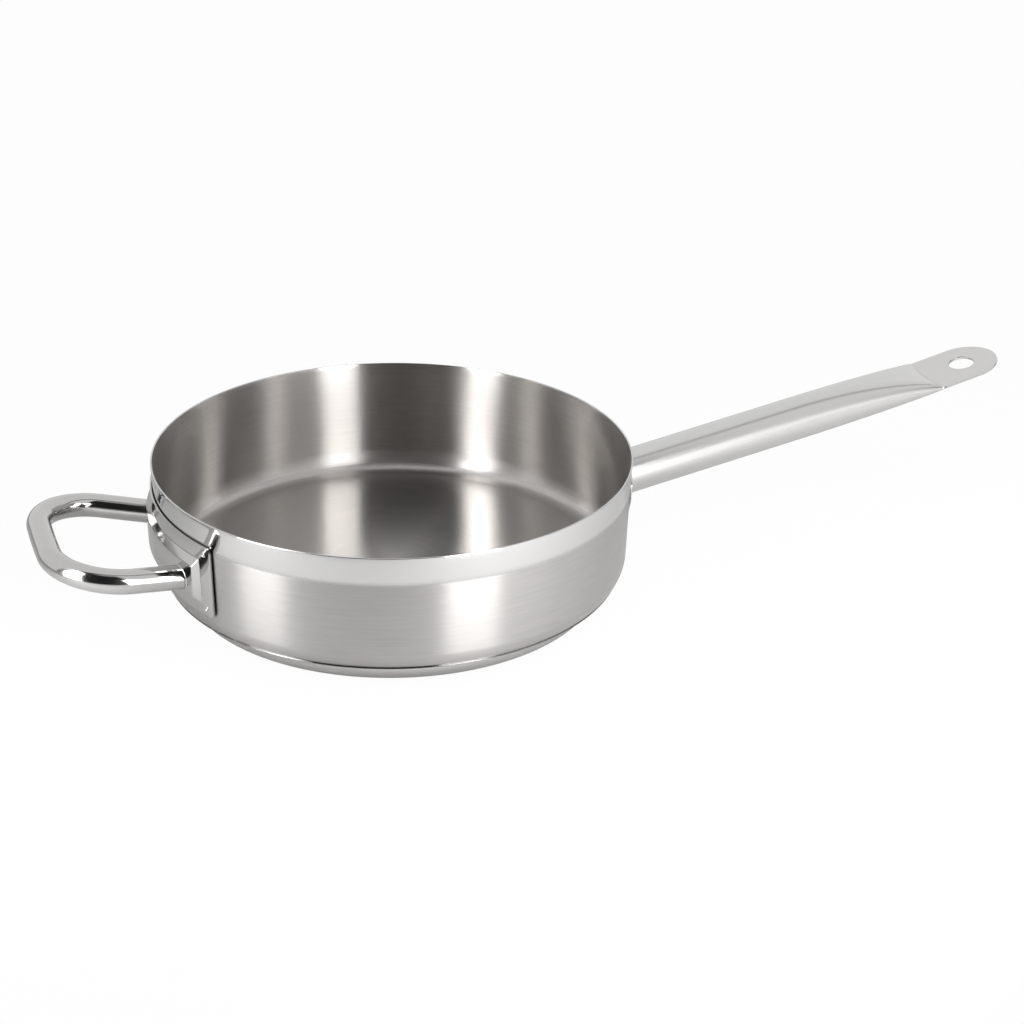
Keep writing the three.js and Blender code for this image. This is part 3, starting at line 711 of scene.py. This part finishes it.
# Sections from the root to the tab's end: centre, upward direction, half height and half width
def gripSections(s):
    start = seatCentre + gripAxis * s["gap"]
    tube = s["tubeRadius"]
    thin = s["wall"]
    girth = 2 * pi * tube
    sections = [(start - gripAxis * s["rootSink"], gripUp, tube, tube)]
    for i in range(s["roundSteps"]):
        sections.append((start + gripAxis * s["roundLength"] * i / s["roundSteps"], gripUp, tube, tube))
    for i in range(s["pressSteps"] + 1):
        share = sin(pi / 2 * i / s["pressSteps"])
        left = (1 - share ** 2) ** s["pressCurve"]
        high = thin + (tube - thin) * left
        wide = high + (girth - 2 * pi * high) / 4 + s["spread"] * (1 - left)
        reach = s["roundLength"] + s["pressLength"] * share
        sections.append((start + gripAxis * reach, gripUp, high, wide))
    press = start + gripAxis * (s["roundLength"] + s["pressLength"])
    tabAxis = Vector((cos(s["tabTilt"]), 0, sin(s["tabTilt"])))
    tabUp = Vector((-sin(s["tabTilt"]), 0, cos(s["tabTilt"])))
    tabWide = thin + (girth - 2 * pi * thin) / 4 + s["spread"]
    straight = s["holeOffset"] + s["endOffset"]
    for i in range(1, s["tabSteps"]):
        sections.append((press + tabAxis * straight * i / s["tabSteps"], tabUp, thin, tabWide))
    for i in range(s["endSteps"] + 1):
        angle = pi / 2 * s["endShare"] * i / s["endSteps"]
        reach = straight + tabWide * sin(angle)
        sections.append((press + tabAxis * reach, tabUp, thin, tabWide * cos(angle)))
    return sections, press, press + tabAxis * s["holeOffset"], tabUp


# Punch for the hang hole, flared at both ends for the hole's chamfers
def makePunch(s, hole, way):
    r = s["holeRadius"]
    land = s["wall"] - s["holeChamfer"]
    reach = s["punchReach"]
    flare = r + reach - land
    punch = turnProfile([
        (0, -reach), (flare, -reach), (r, -land), (r, land), (flare, reach), (0, reach)], s["holeSteps"])
    moveVerts(punch, punch.verts, aimed(hole, way))
    return punch


def cutHole(bm, punch):
    blank = addObject(bm, "gripBlank")
    tool = addObject(punch, "gripPunch")
    cutter = blank.modifiers.new("hole", "BOOLEAN")
    cutter.operation = "DIFFERENCE"
    cutter.solver = "EXACT"
    cutter.object = tool
    made = bmesh.new()
    made.from_object(blank, bpy.context.evaluated_depsgraph_get())
    for part in (blank, tool):
        mesh = part.data
        bpy.data.objects.remove(part)
        bpy.data.meshes.remove(mesh)
    return made


# The new ring of an extruded loop, in the order of the ring it came from
def sameOrder(made, previous):
    places = {vert: place for place, vert in enumerate(previous)}

    def placeOf(vert):
        return next(places[other] for other in (edge.other_vert(vert) for edge in vert.link_edges)
                    if other in places)

    return sorted(made, key=placeOf)


def makeGrip(s):
    sections, press, hole, tabUp = gripSections(s)
    root = sections[0][0]
    bm = bmesh.new()
    ring, edges = ringAt(bm, root, gripAxis, s["tubeRadius"], s["sides"])
    shares = [(atan2((vert.co - root).dot(gripUp), vert.co.y) / (2 * pi)) % 1.0 for vert in ring]
    for centre, up, high, wide in sections[1:]:
        made, edges = extrudeLoop(bm, edges)
        ring = sameOrder(made, ring)
        nearPress = max(0, 1 - (centre - press).length / s["chevronFade"])
        for vert, share in zip(ring, shares):
            across, rise = pressedPoint(share, high, wide)
            back = s["chevron"] * nearPress * (1 - abs(across) / wide)
            vert.co = centre + Vector((0, across, 0)) + up * rise - gripAxis * back
    closeHoles(bm)
    bm = cutHole(bm, makePunch(s, hole, tabUp))
    addPiece(bm, "longGrip", ["satinSteel"], "long_handle_tube", s["tubeSharp"])


# Weld bead round the tube's root, with its section given as the leg beads' is
def makeGripBead(s):
    tube = s["tubeRadius"]
    bead = s["bead"]
    inside = tube - s["beadOverlap"]
    sink = s["beadSink"]
    section = [(tube + grow * bead, lift * bead) for grow, lift in s["beadSection"]]
    bm = turnProfile([
        (inside, -sink), (tube + bead, -sink), *section, (inside, bead), (inside, -sink)], s["beadSteps"])
    moveVerts(bm, bm.verts, aimed(seatCentre, gripAxis))
    addPiece(bm, "longBead", ["weldSteel"], "long_handle_weld", s["beadSharp"])


def makeLongSpots(s):
    ear = (s["halfWidth"] - s["spotInset"]) / s["plateFace"]
    foot = (s["footHalf"] - s["spotInset"]) / s["plateFace"]
    high = s["plateTop"] - s["spotInset"]
    low = s["foot"] + s["spotInset"]
    makeSpots("long", s, ((-foot, low), (foot, low), (-ear, high), (ear, high)))


makeShield(longSizes)
makeGrip(longSizes)
makeGripBead(longSizes)
makeLongSpots(longSizes)
print("long handle made")


# Camera at the photograph's place
cameraView = {
    "place": (-0.321775, -1.083515, 0.58335), "turn": radians(-20.119), "nod": radians(64.4587),
    "roll": radians(1.12216), "lens": 73.828, "sensor": 36.0, "farthest": 100.0}


def makeCamera(s):
    lens = bpy.data.cameras.new("photoCamera")
    lens.sensor_width = s["sensor"]
    lens.lens = s["lens"]
    lens.clip_end = s["farthest"]
    camera = bpy.data.objects.new("photoCamera", lens)
    scene.collection.objects.link(camera)
    turn = Matrix.Rotation(s["turn"], 4, "Z") @ Matrix.Rotation(s["nod"], 4, "X")
    camera.matrix_world = Matrix.Translation(s["place"]) @ turn @ Matrix.Rotation(s["roll"], 4, "Z")
    scene.camera = camera


makeCamera(cameraView)
print("camera made")


# Studio: a floor that the camera sees as white, a pale dome with a dark front, and lamps, in metres
studio = {
    "floorSize": 120.0, "floorDrop": 0.0002, "floorTone": 0.43, "whiteShare": 0.97, "mirrorShare": 0.12,
    "domeRadius": 1.45, "domeFoot": -0.1, "domeColumns": 64, "domeRows": 32, "dark": 0.02, "pale": 0.95,
    "windowLeft": radians(-46), "windowRight": radians(42), "windowSoft": radians(3),
    "windowTop": 0.95, "windowTopSoft": 0.05,
    "gapPlace": (0.136, 0.05, 0.0485), "gapWay": (0.368, -0.915, -0.163), "gapHalf": 0.09, "gapSoft": 0.02,
    "gapTone": 0.3}
plainWhite = (1.0, 1.0, 1.0, 1.0)
toStudio = Matrix.Rotation(cameraView["turn"], 4, "Z")  # image right is +X, away from the camera is +Y


def makeFloor(s):
    bm = bmesh.new()
    bmesh.ops.create_grid(bm, x_segments=1, y_segments=1, size=s["floorSize"] / 2)
    bmesh.ops.translate(bm, verts=bm.verts, vec=(0, 0, -s["floorDrop"]))
    floor = addObject(bm, "studioFloor")
    material, graph = newMaterial("studioWhite")
    rays = graph.node("ShaderNodeLightPath")
    camera, glossy, clear = graph.outputs(rays, ("Is Camera Ray", "Is Glossy Ray", "Is Transmission Ray"))
    either = camera * s["whiteShare"] + graph.maths("MAXIMUM", glossy, clear) * s["mirrorShare"]
    matt = graph.node("ShaderNodeBsdfDiffuse", None, {"Color": shade((1, 1, 1), s["floorTone"])})
    white = graph.node("ShaderNodeEmission", None, {"Color": plainWhite, "Strength": 1.0})
    mixed = graph.node("ShaderNodeMixShader", None, {0: either, 1: matt, 2: white})
    graph.node("ShaderNodeOutputMaterial", None, {"Surface": mixed})
    floor.data.materials.append(material)


# Pale dome with a dark side towards the camera, which itself looks through it at plain white
def makeDome(s):
    bm = bmesh.new()
    bmesh.ops.create_uvsphere(bm, u_segments=s["domeColumns"], v_segments=s["domeRows"],
                              radius=s["domeRadius"])
    bmesh.ops.bisect_plane(bm, geom=bm.verts[:] + bm.edges[:] + bm.faces[:], plane_co=(0, 0, s["domeFoot"]),
                           plane_no=(0, 0, 1), clear_inner=True)
    bmesh.ops.reverse_faces(bm, faces=bm.faces)
    dome = addObject(bm, "studioDome")
    dome.visible_camera = False
    material, graph = newMaterial("domeCloth")
    where = graph.node("ShaderNodeTexCoord", output="Object")
    way = graph.node("ShaderNodeVectorMath", {"operation": "NORMALIZE"}, {0: where})
    side, front, up = (
        graph.dot(way, toStudio @ Vector(axis)) for axis in ((1, 0, 0), (0, -1, 0), (0, 0, 1)))
    turned = graph.maths("ARCTAN2", side, front)  # nought towards the camera, growing to the right

    def edge(value, middle, soft):
        return graph.step(value, middle - soft, middle + soft)

    window = edge(turned, s["windowLeft"], s["windowSoft"])
    window = window * (1 - edge(turned, s["windowRight"], s["windowSoft"]))
    window = window * (1 - edge(up, s["windowTop"], s["windowTopSoft"]))
    gapWay = Vector(s["gapWay"])  # a narrow dim gap overhead, in line with the long handle
    beside = graph.dot(where, toStudio @ gapWay) - gapWay.dot(Vector(s["gapPlace"]))
    gap = 1 - edge(graph.maths("ABSOLUTE", beside, 0.0), s["gapHalf"], s["gapSoft"])
    tone = s["pale"] - window * (s["pale"] - s["dark"]) - gap * (s["pale"] - s["gapTone"])
    tone = graph.maths("MAXIMUM", tone, s["dark"])
    grey = graph.node("ShaderNodeCombineColor", None, {0: tone, 1: tone, 2: tone})
    glow = graph.node("ShaderNodeEmission", None, {"Color": grey, "Strength": 1.0})
    graph.node("ShaderNodeOutputMaterial", None, {"Surface": glow})
    dome.data.materials.append(material)


def makeWorld():
    scene.world = bpy.data.worlds.new("studio")
    scene.world.use_nodes = True
    graph = Graph(scene.world.node_tree)
    white = graph.node("ShaderNodeBackground", None, {"Color": plainWhite, "Strength": 1.0})
    graph.node("ShaderNodeOutputWorld", None, {"Surface": white})


# A glow is seen in the steel; a fill lights only matt things
softboxes = {
    "leftSoftbox": {"middle": (-0.345, -0.3055, 0.32), "facing": (0.940, 0.341, 0.0),
                    "width": 0.163, "height": 0.60, "kind": "glow", "level": 9.0},
    "rightSoftbox": {"middle": (0.2713, -0.4129, 0.21), "facing": (-0.785, 0.619, 0.0),
                     "width": 0.1915, "height": 0.42, "kind": "glow", "level": 9.8},
    "rightWing": {"middle": (0.3754, -0.2638, 0.11), "facing": (-0.855, 0.518, 0.0),
                  "width": 0.1728, "height": 0.22, "kind": "glow", "level": 0.8},
    "farWing": {"middle": (0.56, -0.245, 0.09), "facing": (0.366, 0.931, 0.0),
                "width": 0.30, "height": 0.18, "kind": "glow", "level": 0.55},
    "leftLamp": {"middle": (-0.19, -0.18, 0.15), "facing": (0.0, 0.0, -1.0),
                 "width": 0.13, "height": 0.13, "kind": "fill", "level": 5.5},
    "nearLamp": {"middle": (0.155, -0.205, 0.15), "facing": (0.0, 0.0, -1.0),
                 "width": 0.13, "height": 0.13, "kind": "fill", "level": 5.0},
    "farLamp": {"middle": (0.44, -0.13, 0.36), "facing": (0.0, 0.0, -1.0),
                "width": 0.3, "height": 0.3, "kind": "fill", "level": 10.5},
}


def makeSoftbox(name, s):
    lamp = bpy.data.lights.new(name + s["kind"].capitalize(), "AREA")
    lamp.shape = "RECTANGLE"
    lamp.size = s["width"]
    lamp.size_y = s["height"]
    lamp.energy = s["level"] * pi * s["width"] * s["height"]
    light = bpy.data.objects.new(lamp.name, lamp)
    scene.collection.objects.link(light)
    aim = (toStudio @ Vector(s["facing"])).to_track_quat("-Z", "Y")
    light.matrix_world = Matrix.Translation(toStudio @ Vector(s["middle"])) @ aim.to_matrix().to_4x4()
    light.visible_camera = False
    light.visible_glossy = s["kind"] == "glow"


makeFloor(studio)
makeDome(studio)
makeWorld()
for name, softbox in softboxes.items():
    makeSoftbox(name, softbox)
scene.view_settings.view_transform = "Standard"
print("studio made")
